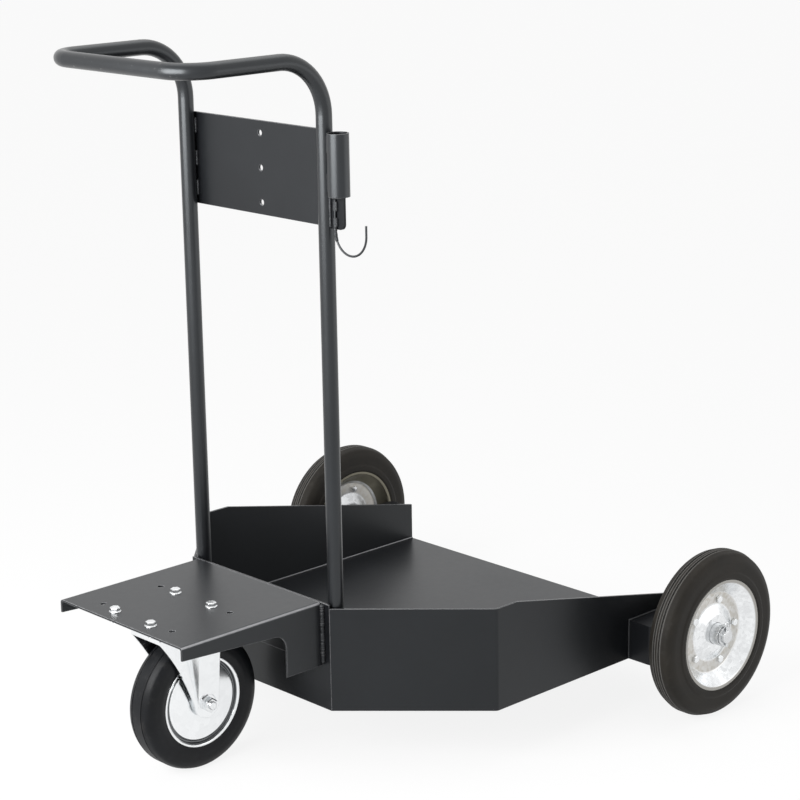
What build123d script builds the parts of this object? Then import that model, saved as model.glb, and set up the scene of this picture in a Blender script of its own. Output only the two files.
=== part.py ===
from build123d import *
import os
from math import atan2, cos, sin

# Drum trolley: a low sheet tray on two fixed wheels and one swivel caster, pulled by a bent tube handle.
# Millimetres. +X points to the tray's open loading end, +Z up; the origin is on the ground, under the middle.

# Sheet, gaps and fasteners
sheet = 3.0
weld_gap = 0.3  # between a round piece and the sheet that it is welded to
slip_gap = 0.2  # radial, a bolt in its hole
run_gap = 0.05  # radial, a shaft in its bearing
end_gap = 0.5  # along an axle, between a turning face and a fixed one
seat_gap = 0.1  # around a piece pressed or moulded onto another
bolt_d = 8.0
bolt_flats = 13.0
bolt_head_height = 5.3
nut_height = 6.5
bolt_tip = 2.0  # thread standing out of the nut
washer_d = 17.0
washer_thickness = 1.6

# Tray
tray_length = 603.0
tray_width = 634.0
nose_width = 302.0  # width of the front wall
flare_length = 162.0  # length over which the tray widens
level_length = 40.0  # level wall top behind the flare
tail_height = 63.0  # wall height at the open end
tray_lift = 86.0  # underside above the ground
bend_r = 4.0  # inside radius of the folds

# Rear wheels and their axles
wheel_d = 250.0
axle_back = 529.6  # axle behind the tray's front
wheel_gap = 36.5  # from the bracket's outer face to the wheel's middle plane
axle_d = 20.0
axle_collar_d = 30.0
axle_end = 33.5  # axle end outside the wheel's middle plane
bracket_depth = 44.4
bracket_front_length = 90.0  # ahead of the axle
bracket_rear_length = 70.0  # behind the axle
bracket_rise = 21.0  # bracket top above the axle
bracket_sheet = 4.0
axle_washer_d = 28.0
axle_washer_thickness = 2.5
pin_d = 3.6
pin_reach = 6.0  # pin standing out of the axle on each side
pin_wire_d = 2.6  # wire of the pin's eye

# Rear wheel rims and tyres
rim_sheet = 2.5
rim_fold_r = 3.5
rim_lip_r = 83.5
rim_lip_y = 22.0
rim_lip_width = 4.5
rim_flat_r = 61.0
dome_r = 42.0
dome_top_r = 26.0
dome_fold_r = 12.0  # rounding of the dome's top edge
dome_height = 10.0
hub_opening_r = 16.3
hub_sleeve_wall = 4.5
bearing_d = 37.0
bearing_neck = 14.5  # bush standing out of the outer dome
rim_bolt_circle_d = 100.0
rim_bolt_count = 5
rim_bolt_turn = 75.0  # degrees from +X towards +Z
rim_bolt_d = 6.0
rim_bolt_flats = 10.0
rim_bolt_head_height = 4.0
rim_nut_height = 5.0
tyre_width = 46.0
tyre_crown_width = 33.0
tyre_crown_drop = 4.0  # how much lower the tread is at its edges
tyre_shoulder = 13.0
tyre_shoulder_r = 8.0
tyre_side_r = 20.0  # rounding from the sidewall into the shoulder
tyre_bead_width = 9.0
tyre_bead_rise = 1.2  # raised ring beside the rim
tyre_bead_slope = 3.0
tyre_bead_r = 2.0  # rounding of the raised ring
groove_width = 3.0
groove_depth = 3.0
groove_spacing = 9.0

# Handle and the pieces on it
tube_d = 22.0
tube_wall = 2.0
handle_height = 993.5  # middle of the grip bar above the ground
handle_reach = 208.5  # middle of the grip bar ahead of the tray
top_bend_r = 75.0
grip_bend_r = 42.0
upright_back = 17.5  # upright's axis behind the tray's front
upright_inset = 5.4  # upright's axis inside the front wall's ends
panel_height = 130.0
panel_drop = 161.2  # middle of the panel below the middle of the grip bar
panel_lap = 9.4  # panel overlap on each upright
panel_hole_d = 8.5
panel_hole_spacing = 48.0
holder_d = 30.0
holder_wall = 2.0
holder_height = 84.0
gusset_sheet = 4.0
gusset_width = 25.5
gusset_height = 44.0
gusset_corner_r = 8.0
hook_wire_d = 3.0
hook_r = 30.0
hook_drop = 2.0  # middle of the hook's bend below the gusset
hook_lip = 14.0  # tip above the middle of the hook's bend
hook_shank = 40.0
hook_inset = 10.5  # shank's axis from the gusset's inner edge

# Caster deck
deck_length = 246.5
deck_width = 272.8
deck_bend_r = 5.0  # outside radius of the folds
flange_front = 19.0  # flange depth at the front corner
flange_back = 30.4  # flange depth where it meets the gusset
deck_gusset_length = 66.0
deck_gusset_depth = 93.0
deck_gusset_r = 22.0
wall_drop = 7.0  # tray wall top below the deck
front_wall_drop = 1.6  # front wall top below the deck
spare_back = 166.0  # middle of the spare holes ahead of the tray
spare_x = 100.0
spare_y = 154.0
spare_hole_d = 9.0

# Caster
caster_d = 200.0
caster_headroom = 41.0  # from the caster tyre's top to the deck's underside
swivel_reach = 171.0  # swivel axis ahead of the tray
caster_trail = 45.4
mount_x = 105.0
mount_y = 80.0
top_plate_x = 135.0
top_plate_y = 110.0
top_plate_thickness = 5.0
top_plate_corner_r = 10.0
swivel_space = 17.6  # from the top plate to the fork's crown
race_r = 30.0
race_width = 10.0
ball_d = 8.0
ball_count = 18
kingpin_d = 16.0
kingpin_head_d = 24.0
kingpin_head_height = 4.0
kingpin_washer_d = 34.0
kingpin_washer_thickness = 2.5
kingpin_nut_flats = 24.0
kingpin_nut_height = 8.0
fork_sheet = 3.5
fork_gap = 57.0  # between the cheeks
fork_fold_r = 8.0  # outside radius of the fork's folds
crown_lip = 10.7  # crown's front edge, turned down
leg_front = 33.0  # crown's front edge ahead of the swivel axis
leg_back = 50.0
leg_hollow = 5.5  # how far the cheek's front edge is curved in
leg_end_r = 21.0
rib_foot_front = 7.7  # foot of the rib's slanted front behind the swivel axis, at the crown
rib_top_front = 17.0  # rib's outer edge behind the swivel axis, at the crown
rib_top_back = 54.0
rib_end_front = 16.4  # rib ahead of the axle, at its lower end
rib_end_back = 20.0
rib_low = 4.0  # rib's lower end below the axle
rib_solid = 18.0  # the rib is hollow from here up, above the axle
rib_rise = 25.0  # rib height at the crown
leg_seat_r = 14.0  # flat round the axle bolt's head and nut
caster_bolt_d = 12.0
caster_bolt_flats = 19.0
caster_bolt_head_height = 7.5
caster_nut_height = 10.0
caster_bolt_tip = 3.0
sleeve_wall = 2.5
roller_d = 4.0
roller_count = 12
cage_wall = 1.2
hub_wall = 4.0

# Caster wheel
disc_hub_y = 22.0  # disc's outer face at the hub
disc_seat = 5.0  # flat ring of the disc around the hub
disc_edge_y = 19.0
disc_edge_r = 56.0
disc_groove_y = 15.5
disc_groove_r = 59.5
disc_groove_width = 2.4
disc_lip_y = 22.0
disc_lip_r = 66.0
disc_lip_width = 4.0
disc_sheet = 2.5
disc_fold_r = 3.0
disc_groove_fold_r = 1.0
rim_band_wall = 2.4
caster_tyre_width = 48.0
caster_crown_width = 40.0
caster_crown_drop = 3.0
caster_groove_width = 2.0
caster_groove_depth = 1.0
caster_groove_spacing = 20.0
caster_shoulder = 12.0
caster_shoulder_r = 9.0
caster_side_r = 20.0  # rounding at both ends of the sidewall
caster_bead_rise = 2.5  # sidewall outside the disc's lip
caster_bead_slope = 8.0
bed_inset = 1.2  # tyre bed short of the discs
bed_relief = 1.7  # tyre bed clear of the lip's back

# Levels and positions
front_x = (deck_length - axle_back - wheel_d / 2) / 2
axle_x = front_x + axle_back
axle_z = wheel_d / 2
tail_x = front_x + tray_length
side_y = tray_width / 2
bracket_y = side_y + bracket_depth
wheel_y = bracket_y + wheel_gap
floor_top = tray_lift + sheet
deck_bottom = caster_d + caster_headroom
deck_top = deck_bottom + sheet
wall_top = deck_top - wall_drop
front_wall_top = deck_top - front_wall_drop
swivel_x = front_x - swivel_reach
caster_x = swivel_x + caster_trail
caster_z = caster_d / 2
plate_bottom = deck_bottom - top_plate_thickness
crown_top = plate_bottom - swivel_space
crown_bottom = crown_top - fork_sheet
leg_in = fork_gap / 2
leg_out = leg_in + fork_sheet
rim_half = dome_height - rim_sheet
upright_x = front_x + upright_back
upright_y = nose_width / 2 - upright_inset
panel_level = handle_height - panel_drop

flare_angle = atan2(tray_width - nose_width, 2 * flare_length)


def wall_line(inset):
    # Plan line of the left tray wall moved inwards: front corner, shoulder, tail
    y = side_y - inset
    nose_y = nose_width / 2 - inset * (1 - sin(flare_angle)) / cos(flare_angle)
    shoulder_x = (inset + (y - nose_width / 2) * cos(flare_angle)) / sin(flare_angle)
    return [(front_x + inset, nose_y), (front_x + shoulder_x, y), (tail_x, y)]


def flipped(points):
    # The same points on the other side of the middle line, in the opposite order
    return [(a, -b) for a, b in reversed(points)]


os.makedirs("parts", exist_ok=True)


def keep(piece, name):
    piece.part.label = name
    export_step(piece.part, f"parts/{name}.step")


def keep_pair(piece, name):
    # The left piece as built and its mirror image on the right
    keep(piece, "left_" + name)
    with BuildPart() as other:
        mirror(piece.part, about=Plane.XZ)
    keep(other, "right_" + name)


def turned(plane, points, rounds=0):
    # Solid of revolution about the plane's Y axis; points are (radius, height)
    with BuildPart() as piece:
        with BuildSketch(plane):
            with BuildLine():
                FilletPolyline(*points, radius=rounds, close=True)
            make_face()
        revolve(axis=Axis(plane.origin, plane.y_dir))
    return piece


def pressed(plane, points, rounds, thickness):
    # Pressed disc: a line of (radius, height) on the outer face, thickened inwards
    with BuildPart() as piece:
        with BuildSketch(plane):
            with BuildLine():
                FilletPolyline(*points, radius=rounds)
                offset(amount=thickness, side=Side.RIGHT)
            make_face()
        revolve(axis=Axis(plane.origin, plane.y_dir))
    return piece


def turned_group(parts):
    # Several turned pieces that are kept together as one group
    with BuildPart() as group:
        for piece in parts:
            add(piece.part)
    return group


def tube(plane, outer_r, inner_r, start, end):
    return turned(plane, [(inner_r, start), (outer_r, start), (outer_r, end), (inner_r, end)])


# Tray

with BuildPart() as tray_floor:
    with BuildSketch(Plane.XY.offset(tray_lift)):
        with BuildLine():
            inner_line = wall_line(sheet)
            corner_r = [0, bend_r, 0]
            FilletPolyline(*inner_line, *flipped(inner_line), radius=corner_r * 2, close=True)
        make_face()
    extrude(amount=sheet)
keep(tray_floor, "tray_floor")

with BuildPart() as tray_front_wall:
    with BuildSketch(Plane.XY.offset(tray_lift)):
        with BuildLine():
            nose = [wall_line(0)[0], wall_line(sheet)[0]]
            Polyline(*nose, *flipped(nose), close=True)
        make_face()
    extrude(amount=front_wall_top - tray_lift)
keep(tray_front_wall, "tray_front_wall")

with BuildPart() as side_wall:
    with BuildSketch(Plane.XY.offset(tray_lift)):
        with BuildLine():
            wall_points = wall_line(0) + wall_line(sheet)[::-1]
            FilletPolyline(*wall_points, radius=[0, bend_r + sheet, 0, 0, bend_r, 0], close=True)
        make_face()
    extrude(amount=wall_top - tray_lift)
    with BuildSketch(Plane.XZ):
        with BuildLine():
            level_end = front_x + flare_length + level_length
            Polyline((level_end, wall_top), (tail_x, tray_lift + tail_height), (tail_x, wall_top), close=True)
        make_face()
    extrude(amount=tray_width, both=True, mode=Mode.SUBTRACT)
keep_pair(side_wall, "side_wall")

# Axle brackets and stub axles

with BuildPart() as axle_bracket:
    bracket_front = axle_x - bracket_front_length
    bracket_rear = axle_x + bracket_rear_length
    fold_r = bend_r + bracket_sheet
    with BuildSketch(Plane.XY.offset(tray_lift)):
        with BuildLine():
            FilletPolyline(
                (bracket_front, side_y), (bracket_front, bracket_y), (bracket_rear, bracket_y),
                (bracket_rear, side_y), radius=[0, fold_r, fold_r, 0], close=True)
        make_face()
    extrude(amount=axle_z + bracket_rise - tray_lift)
    with BuildSketch(Plane.XY.offset(tray_lift)):
        with BuildLine():
            FilletPolyline(
                (bracket_front + bracket_sheet, side_y),
                (bracket_front + bracket_sheet, bracket_y - bracket_sheet),
                (bracket_rear - bracket_sheet, bracket_y - bracket_sheet),
                (bracket_rear - bracket_sheet, side_y), radius=[0, bend_r, bend_r, 0], close=True)
        make_face()
    extrude(amount=axle_z + bracket_rise - bracket_sheet - tray_lift, mode=Mode.SUBTRACT)
    with Locations(Plane(origin=(axle_x, bracket_y, axle_z), z_dir=(0, 1, 0))):
        Hole(axle_d / 2 + seat_gap, depth=bracket_sheet)
keep_pair(axle_bracket, "axle_bracket")

wheel_plane = Plane(origin=(axle_x, wheel_y, axle_z), x_dir=(0, 0, 1), z_dir=(-1, 0, 0))
axle_r = axle_d / 2
washer_y = dome_height + bearing_neck + end_gap
pin_y = washer_y + axle_washer_thickness + pin_d / 2 + weld_gap

with BuildPart() as stub_axle:
    add(turned(wheel_plane, [
        (0, side_y - wheel_y), (axle_r, side_y - wheel_y), (axle_r, -wheel_gap),
        (axle_collar_d / 2, -wheel_gap), (axle_collar_d / 2, -dome_height - end_gap),
        (axle_r, -dome_height - end_gap), (axle_r, axle_end), (0, axle_end)]).part)
    chamfer(edges().group_by(Axis.Y)[-1], length=pin_d / 2)
    with Locations((axle_x, wheel_y + pin_y, axle_z)):
        Cylinder(pin_d / 2 + slip_gap, 2 * axle_d, mode=Mode.SUBTRACT)
keep_pair(stub_axle, "stub_axle")

keep_pair(tube(wheel_plane, axle_washer_d / 2, axle_r + slip_gap, washer_y, washer_y + axle_washer_thickness),
          "axle_washer")

with BuildPart() as split_pin:
    with Locations((axle_x, wheel_y + pin_y, axle_z)):
        Cylinder(pin_d / 2, axle_d + 2 * pin_reach)
    with Locations((axle_x, wheel_y + pin_y, axle_z + axle_r + pin_reach + pin_d - pin_wire_d / 2)):
        Torus(pin_d, pin_wire_d / 2, rotation=(90, 0, 0))
keep_pair(split_pin, "split_pin")

# Rear wheels

rim_line = [
    (hub_opening_r, dome_height), (dome_top_r, dome_height), (dome_r, rim_sheet), (rim_flat_r, rim_sheet),
    (rim_lip_r - rim_lip_width, rim_lip_y), (rim_lip_r, rim_lip_y)]
bolt_plane = Plane(origin=(axle_x, wheel_y, axle_z), x_dir=(1, 0, 0), z_dir=(0, 1, 0))


def rim_bolt_places():
    return PolarLocations(rim_bolt_circle_d / 2, rim_bolt_count, start_angle=-rim_bolt_turn)


with BuildPart() as outer_rim:
    add(pressed(wheel_plane, rim_line, [dome_fold_r] + [rim_fold_r] * 3, rim_sheet).part)
    with BuildSketch(bolt_plane):
        with rim_bolt_places():
            Circle(rim_bolt_d / 2 + slip_gap)
    extrude(amount=rim_sheet, both=True, mode=Mode.SUBTRACT)
keep_pair(outer_rim, "outer_rim")

with BuildPart() as inner_rim:
    mirror(outer_rim.part, about=Plane.XZ.offset(-wheel_y))
keep_pair(inner_rim, "inner_rim")

with BuildPart() as rim_bolts:
    with BuildSketch(bolt_plane.offset(rim_sheet)):
        with rim_bolt_places():
            RegularPolygon(rim_bolt_flats / 2, 6, major_radius=False)
    extrude(amount=rim_bolt_head_height)
    with BuildSketch(bolt_plane.offset(rim_sheet)):
        with rim_bolt_places():
            Circle(rim_bolt_d / 2)
    extrude(amount=-2 * rim_sheet - rim_nut_height - bolt_tip)
keep_pair(rim_bolts, "rim_bolts")

with BuildPart() as rim_nuts:
    with BuildSketch(bolt_plane.offset(-rim_sheet)):
        with rim_bolt_places():
            RegularPolygon(rim_bolt_flats / 2, 6, major_radius=False)
            Circle(rim_bolt_d / 2 + slip_gap, mode=Mode.SUBTRACT)
    extrude(amount=-rim_nut_height)
keep_pair(rim_nuts, "rim_nuts")

bearing_r = bearing_d / 2
sleeve_y = rim_half - seat_gap
hub_sleeve_r = bearing_r + hub_sleeve_wall
keep_pair(tube(wheel_plane, hub_sleeve_r, bearing_r + seat_gap, -sleeve_y, sleeve_y), "hub_sleeve")

bearing_bore_r = axle_r + run_gap
neck_r = hub_opening_r - weld_gap
neck_y = dome_height + bearing_neck
outer_bearing = turned(wheel_plane, [
    (bearing_bore_r, seat_gap), (bearing_r, seat_gap), (bearing_r, sleeve_y), (neck_r, sleeve_y),
    (neck_r, neck_y), (bearing_bore_r, neck_y)])
inner_bearing = tube(wheel_plane, bearing_r, bearing_bore_r, -sleeve_y, -seat_gap)
keep_pair(turned_group([outer_bearing, inner_bearing]), "wheel_bearings")

barrel_angle = atan2(rim_lip_y - rim_sheet, rim_lip_r - rim_lip_width - rim_flat_r)
seat_shift = rim_flat_r + (rim_sheet + seat_gap) / sin(barrel_angle)
bead_y = rim_lip_y - rim_sheet - seat_gap
barrel_slope = cos(barrel_angle) / sin(barrel_angle)
groove_in = (groove_spacing - groove_width) / 2
groove_out = (groove_spacing + groove_width) / 2
wheel_r = wheel_d / 2
bead_r = rim_lip_r + weld_gap
bead_end_r = bead_r + tyre_bead_width
sidewall_y = tyre_width / 2 - tyre_bead_rise
tyre_half = [
    (seat_shift, rim_sheet), (seat_shift + (bead_y - rim_sheet) * barrel_slope, bead_y), (bead_r, bead_y),
    (bead_r, sidewall_y), (bead_r + tyre_bead_slope, tyre_width / 2), (bead_end_r, tyre_width / 2),
    (bead_end_r + tyre_bead_slope, sidewall_y), (wheel_r - tyre_shoulder, sidewall_y),
    (wheel_r - tyre_crown_drop, tyre_crown_width / 2),
    (wheel_r, groove_out), (wheel_r - groove_depth, groove_out), (wheel_r - groove_depth, groove_in),
    (wheel_r, groove_in)]
tyre_rounds = [0] * 4 + [tyre_bead_r] * 3 + [tyre_side_r, tyre_shoulder_r] + [0] * 4
keep_pair(turned(wheel_plane, tyre_half + flipped(tyre_half), tyre_rounds + tyre_rounds[::-1]), "tyre")

# Handle tube with the panel, holder and hook

with BuildPart() as handle_tube:
    with BuildLine() as handle_path:
        bar_x = front_x - handle_reach
        FilletPolyline(
            (upright_x, upright_y, floor_top), (upright_x, upright_y, handle_height),
            (bar_x, upright_y, handle_height), (bar_x, -upright_y, handle_height),
            (upright_x, -upright_y, handle_height), (upright_x, -upright_y, floor_top),
            radius=[top_bend_r, grip_bend_r, grip_bend_r, top_bend_r])
    with BuildSketch(Plane.XY.offset(floor_top)):
        with Locations((upright_x, upright_y)):
            Circle(tube_d / 2)
            Circle(tube_d / 2 - tube_wall, mode=Mode.SUBTRACT)
    sweep(path=handle_path.wires()[0])
keep(handle_tube, "handle_tube")

panel_x = upright_x + tube_d / 2 + weld_gap
panel_half = upright_y - tube_d / 2 + panel_lap
panel_top = panel_level + panel_height / 2

with BuildPart() as mounting_panel:
    with BuildSketch(Plane.YZ.offset(panel_x)):
        with Locations((0, panel_level)):
            Rectangle(2 * panel_half, panel_height)
            with GridLocations(0, panel_hole_spacing, 1, 3):
                Circle(panel_hole_d / 2, mode=Mode.SUBTRACT)
    extrude(amount=sheet)
keep(mounting_panel, "mounting_panel")

holder_bottom = panel_top - holder_height
holder_edge = -upright_y - tube_d / 2 - weld_gap
gusset_bottom = holder_bottom - gusset_height

with BuildPart() as holder_tube:
    with BuildSketch(Plane.XY.offset(holder_bottom)):
        with Locations((upright_x, holder_edge - holder_d / 2)):
            Circle(holder_d / 2)
            Circle(holder_d / 2 - holder_wall, mode=Mode.SUBTRACT)
    extrude(amount=holder_height)
keep(holder_tube, "holder_tube")

with BuildPart() as holder_gusset:
    with BuildSketch(Plane.YZ.offset(upright_x)):
        with BuildLine():
            FilletPolyline(
                (holder_edge, holder_bottom), (holder_edge - gusset_width, holder_bottom),
                (holder_edge - gusset_width, gusset_bottom), (holder_edge, gusset_bottom),
                radius=[0, 0, gusset_corner_r, 0], close=True)
        make_face()
    extrude(amount=gusset_sheet / 2, both=True)
keep(holder_gusset, "holder_gusset")

with BuildPart() as wire_hook:
    hook_x = upright_x - gusset_sheet / 2 - hook_wire_d / 2 - weld_gap
    hook_y = holder_edge - hook_inset
    bend_z = gusset_bottom - hook_drop
    tip_y = hook_y - 2 * hook_r
    with BuildLine() as hook_path:
        Line((hook_x, hook_y, gusset_bottom + hook_shank), (hook_x, hook_y, bend_z))
        ThreePointArc(
            (hook_x, hook_y, bend_z), (hook_x, hook_y - hook_r, bend_z - hook_r),
            (hook_x, tip_y, bend_z))
        Line((hook_x, tip_y, bend_z), (hook_x, tip_y, bend_z + hook_lip))
    with BuildSketch(Plane.XY.offset(gusset_bottom + hook_shank)):
        with Locations((hook_x, hook_y)):
            Circle(hook_wire_d / 2)
    sweep(path=hook_path.wires()[0])
keep(wire_hook, "wire_hook")

# Caster deck: an open pressing with side flanges, rear gussets and a rear flange

with BuildPart() as caster_deck:
    deck_front = front_x - deck_length
    gusset_front = front_x - deck_gusset_length
    gusset_low = deck_top - deck_gusset_depth
    with BuildSketch(Plane.XY.offset(gusset_low)):
        with Locations(((deck_front + front_x) / 2, 0)):
            Rectangle(deck_length, deck_width)
    extrude(amount=deck_gusset_depth)
    side_folds = edges().filter_by(Axis.X).group_by(Axis.Z)[-1]
    rear_fold = edges().filter_by(Axis.Y).group_by(Axis.Z)[-1].sort_by(Axis.X)[-1:]
    gusset_folds = edges().filter_by(Axis.Z).group_by(Axis.X)[-1]
    fillet(side_folds + rear_fold + gusset_folds, radius=deck_bend_r)
    offset(amount=-sheet, openings=[faces().sort_by(Axis.Z)[0], faces().sort_by(Axis.X)[0]])
    with BuildSketch(Plane.XZ):
        with BuildLine():
            FilletPolyline(
                (deck_front, gusset_low), (deck_front, deck_top - flange_front),
                (gusset_front, deck_top - flange_back), (gusset_front, gusset_low),
                radius=[0, 0, deck_gusset_r, 0], close=True)
        make_face()
    extrude(amount=deck_width, both=True, mode=Mode.SUBTRACT)
    with Locations((swivel_x, 0, deck_top)):
        with GridLocations(mount_x, mount_y, 2, 2):
            Hole(bolt_d / 2 + slip_gap, depth=sheet)
    with Locations((front_x - spare_back, 0, deck_top)):
        with GridLocations(spare_x, spare_y, 2, 2):
            Hole(spare_hole_d / 2, depth=sheet)
keep(caster_deck, "caster_deck")


def mount_group(level, height, outline_d, hole_d, hexagonal):
    # Four fasteners or washers on the caster's bolt pattern
    with BuildPart() as group:
        with BuildSketch(Plane.XY.offset(level)):
            with Locations((swivel_x, 0)):
                with GridLocations(mount_x, mount_y, 2, 2):
                    if hexagonal:
                        RegularPolygon(outline_d / 2, 6, major_radius=False)
                    else:
                        Circle(outline_d / 2)
                    Circle(hole_d / 2, mode=Mode.SUBTRACT)
        extrude(amount=height)
    return group


hole_d = bolt_d + 2 * slip_gap
keep(mount_group(deck_top, washer_thickness, washer_d, hole_d, False), "mount_washers")
keep(mount_group(plate_bottom - nut_height, nut_height, bolt_flats, hole_d, True), "mount_nuts")

with BuildPart() as mount_bolts:
    with BuildSketch(Plane.XY.offset(deck_top + washer_thickness)):
        with Locations((swivel_x, 0)):
            with GridLocations(mount_x, mount_y, 2, 2):
                RegularPolygon(bolt_flats / 2, 6, major_radius=False)
    extrude(amount=bolt_head_height)
    with BuildSketch(Plane.XY.offset(plate_bottom - nut_height - bolt_tip)):
        with Locations((swivel_x, 0)):
            with GridLocations(mount_x, mount_y, 2, 2):
                Circle(bolt_d / 2)
    extrude(amount=deck_top + washer_thickness - plate_bottom + nut_height + bolt_tip)
keep(mount_bolts, "mount_bolts")

# Caster swivel

kingpin_r = kingpin_d / 2
swivel_plane = Plane(origin=(swivel_x, 0, 0), x_dir=(1, 0, 0), z_dir=(0, -1, 0))

with BuildPart() as caster_top_plate:
    with BuildSketch(Plane.XY.offset(plate_bottom)):
        with Locations((swivel_x, 0)):
            RectangleRounded(top_plate_x, top_plate_y, top_plate_corner_r)
            with GridLocations(mount_x, mount_y, 2, 2):
                Circle(hole_d / 2, mode=Mode.SUBTRACT)
            Circle(kingpin_r + seat_gap, mode=Mode.SUBTRACT)
    extrude(amount=top_plate_thickness)
    with BuildSketch(Plane.XY.offset(deck_bottom)):
        with Locations((swivel_x, 0)):
            Circle(kingpin_head_d / 2 + seat_gap)
    extrude(amount=-kingpin_head_height, mode=Mode.SUBTRACT)
keep(caster_top_plate, "caster_top_plate")

head_bottom = deck_bottom - kingpin_head_height
washer_top = crown_bottom - weld_gap
nut_top = washer_top - kingpin_washer_thickness
nut_bottom = nut_top - kingpin_nut_height
keep(turned(swivel_plane, [
    (0, deck_bottom), (kingpin_head_d / 2, deck_bottom), (kingpin_head_d / 2, head_bottom),
    (kingpin_r, head_bottom), (kingpin_r, nut_bottom), (0, nut_bottom)]), "kingpin")

keep(tube(swivel_plane, kingpin_washer_d / 2, kingpin_r + slip_gap, nut_top, washer_top), "kingpin_washer")

with BuildPart() as kingpin_nut:
    with BuildSketch(Plane.XY.offset(nut_top)):
        with Locations((swivel_x, 0)):
            RegularPolygon(kingpin_nut_flats / 2, 6, major_radius=False)
            Circle(kingpin_r + seat_gap, mode=Mode.SUBTRACT)
    extrude(amount=-kingpin_nut_height)
keep(kingpin_nut, "kingpin_nut")

race_bottom = crown_top + ball_d + weld_gap
keep(tube(swivel_plane, race_r, race_r - race_width, race_bottom, plate_bottom), "swivel_race")

with BuildPart() as swivel_balls:
    with Locations((swivel_x, 0, crown_top + ball_d / 2)):
        with PolarLocations(race_r - race_width / 2, ball_count):
            Sphere(ball_d / 2)
keep(swivel_balls, "swivel_balls")

# Caster fork

leg_plane = Plane.XZ.offset(leg_in)


def rib_block(inset, bottom):
    # Wedge that stands out of the right leg, grows towards the crown and has a slanted front
    tip = Vector(caster_x - rib_end_front, -leg_out, caster_z - rib_low)
    foot = Vector(swivel_x + rib_foot_front, -leg_out, crown_bottom)
    corner = Vector(swivel_x + rib_top_front, -leg_out - rib_rise, crown_bottom)
    with BuildPart() as wedge:
        with BuildSketch(leg_plane):
            with BuildLine():
                Polyline(
                    (tip.X + inset, bottom), (caster_x + rib_end_back - inset, bottom),
                    (swivel_x + rib_top_back - inset, crown_bottom),
                    (foot.X + inset, crown_bottom), close=True)
            make_face()
        extrude(amount=2 * rib_rise + fork_sheet)
        outer = Plane(origin=tip, x_dir=(1, 0, 0), z_dir=(0, tip.Z - crown_bottom, -rib_rise))
        split(bisect_by=outer.offset(-inset), keep=Keep.BOTTOM)
        front = Plane(origin=tip, x_dir=foot - tip, z_dir=(corner - tip).cross(foot - tip))
        split(bisect_by=front.offset(-inset), keep=Keep.BOTTOM)
    return wedge


rib_shape = rib_block(0, caster_z - rib_low).part
rib_hollow = rib_block(fork_sheet, caster_z + rib_solid).part

with BuildPart() as caster_fork:
    crown_front = Plane.YZ.offset(swivel_x - leg_front)
    leg_bottom = caster_z - leg_end_r
    lip_bottom = crown_top - crown_lip
    with BuildSketch(crown_front):
        with BuildLine():
            FilletPolyline(
                (-leg_out, leg_bottom), (-leg_out, crown_top), (leg_out, crown_top), (leg_out, leg_bottom),
                radius=fork_fold_r)
            offset(amount=fork_sheet, side=Side.RIGHT)
        make_face()
    extrude(amount=leg_front + leg_back + caster_trail)
    with BuildSketch(Plane.XZ):
        with BuildLine():
            front_top = (swivel_x - leg_front, crown_top)
            front_low = (swivel_x - leg_front, lip_bottom)
            front_end = (caster_x - leg_end_r, caster_z)
            back_end = (caster_x + leg_end_r, caster_z)
            back_top = (swivel_x + leg_back, crown_top)
            SagittaArc(front_low, front_end, leg_hollow)
            ThreePointArc(front_end, (caster_x, leg_bottom), back_end)
            Polyline(back_end, back_top, front_top, front_low)
        make_face()
    extrude(amount=leg_out, both=True, mode=Mode.INTERSECT)
    with BuildSketch(crown_front):
        with BuildLine():
            FilletPolyline(
                (-leg_out, lip_bottom), (-leg_out, crown_top), (leg_out, crown_top), (leg_out, lip_bottom),
                radius=[0, fork_fold_r, fork_fold_r, 0], close=True)
        make_face()
    extrude(amount=fork_sheet)
    for rib, change in ((rib_shape, Mode.ADD), (rib_hollow, Mode.SUBTRACT)):
        add(rib, mode=change)
        mirror(rib, about=Plane.XZ, mode=change)
    with BuildSketch(Plane.XY.offset(crown_bottom)):
        with Locations((swivel_x + (rib_foot_front + rib_top_back) / 2, 0)):
            RectangleRounded(rib_top_back - rib_foot_front, 2 * (leg_out + rib_rise), fork_fold_r)
    extrude(amount=fork_sheet)
    for side in (1, -1):
        with BuildSketch(Plane.XZ.offset(side * leg_out)):
            with Locations((caster_x, caster_z)):
                Circle(leg_seat_r)
        extrude(amount=side * rib_rise, mode=Mode.SUBTRACT)
    with Locations((swivel_x, 0, crown_top)):
        Hole(kingpin_r + run_gap, depth=fork_sheet)
    with BuildSketch(Plane.XZ):
        with Locations((caster_x, caster_z)):
            Circle(caster_bolt_d / 2 + slip_gap)
    extrude(amount=leg_out, both=True, mode=Mode.SUBTRACT)
keep(caster_fork, "caster_fork")

# Caster axle

caster_plane = Plane(origin=(caster_x, 0, caster_z), x_dir=(0, 0, 1), z_dir=(-1, 0, 0))
caster_bolt_r = caster_bolt_d / 2
sleeve_r = caster_bolt_r + slip_gap + sleeve_wall

with BuildPart() as caster_axle_bolt:
    with BuildSketch(Plane.XZ.offset(-leg_out)):
        with Locations((caster_x, caster_z)):
            RegularPolygon(caster_bolt_flats / 2, 6, major_radius=False)
    extrude(amount=-caster_bolt_head_height)
    with BuildSketch(Plane.XZ.offset(-leg_out)):
        with Locations((caster_x, caster_z)):
            Circle(caster_bolt_r)
    extrude(amount=2 * leg_out + caster_nut_height + caster_bolt_tip)
keep(caster_axle_bolt, "caster_axle_bolt")

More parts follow.
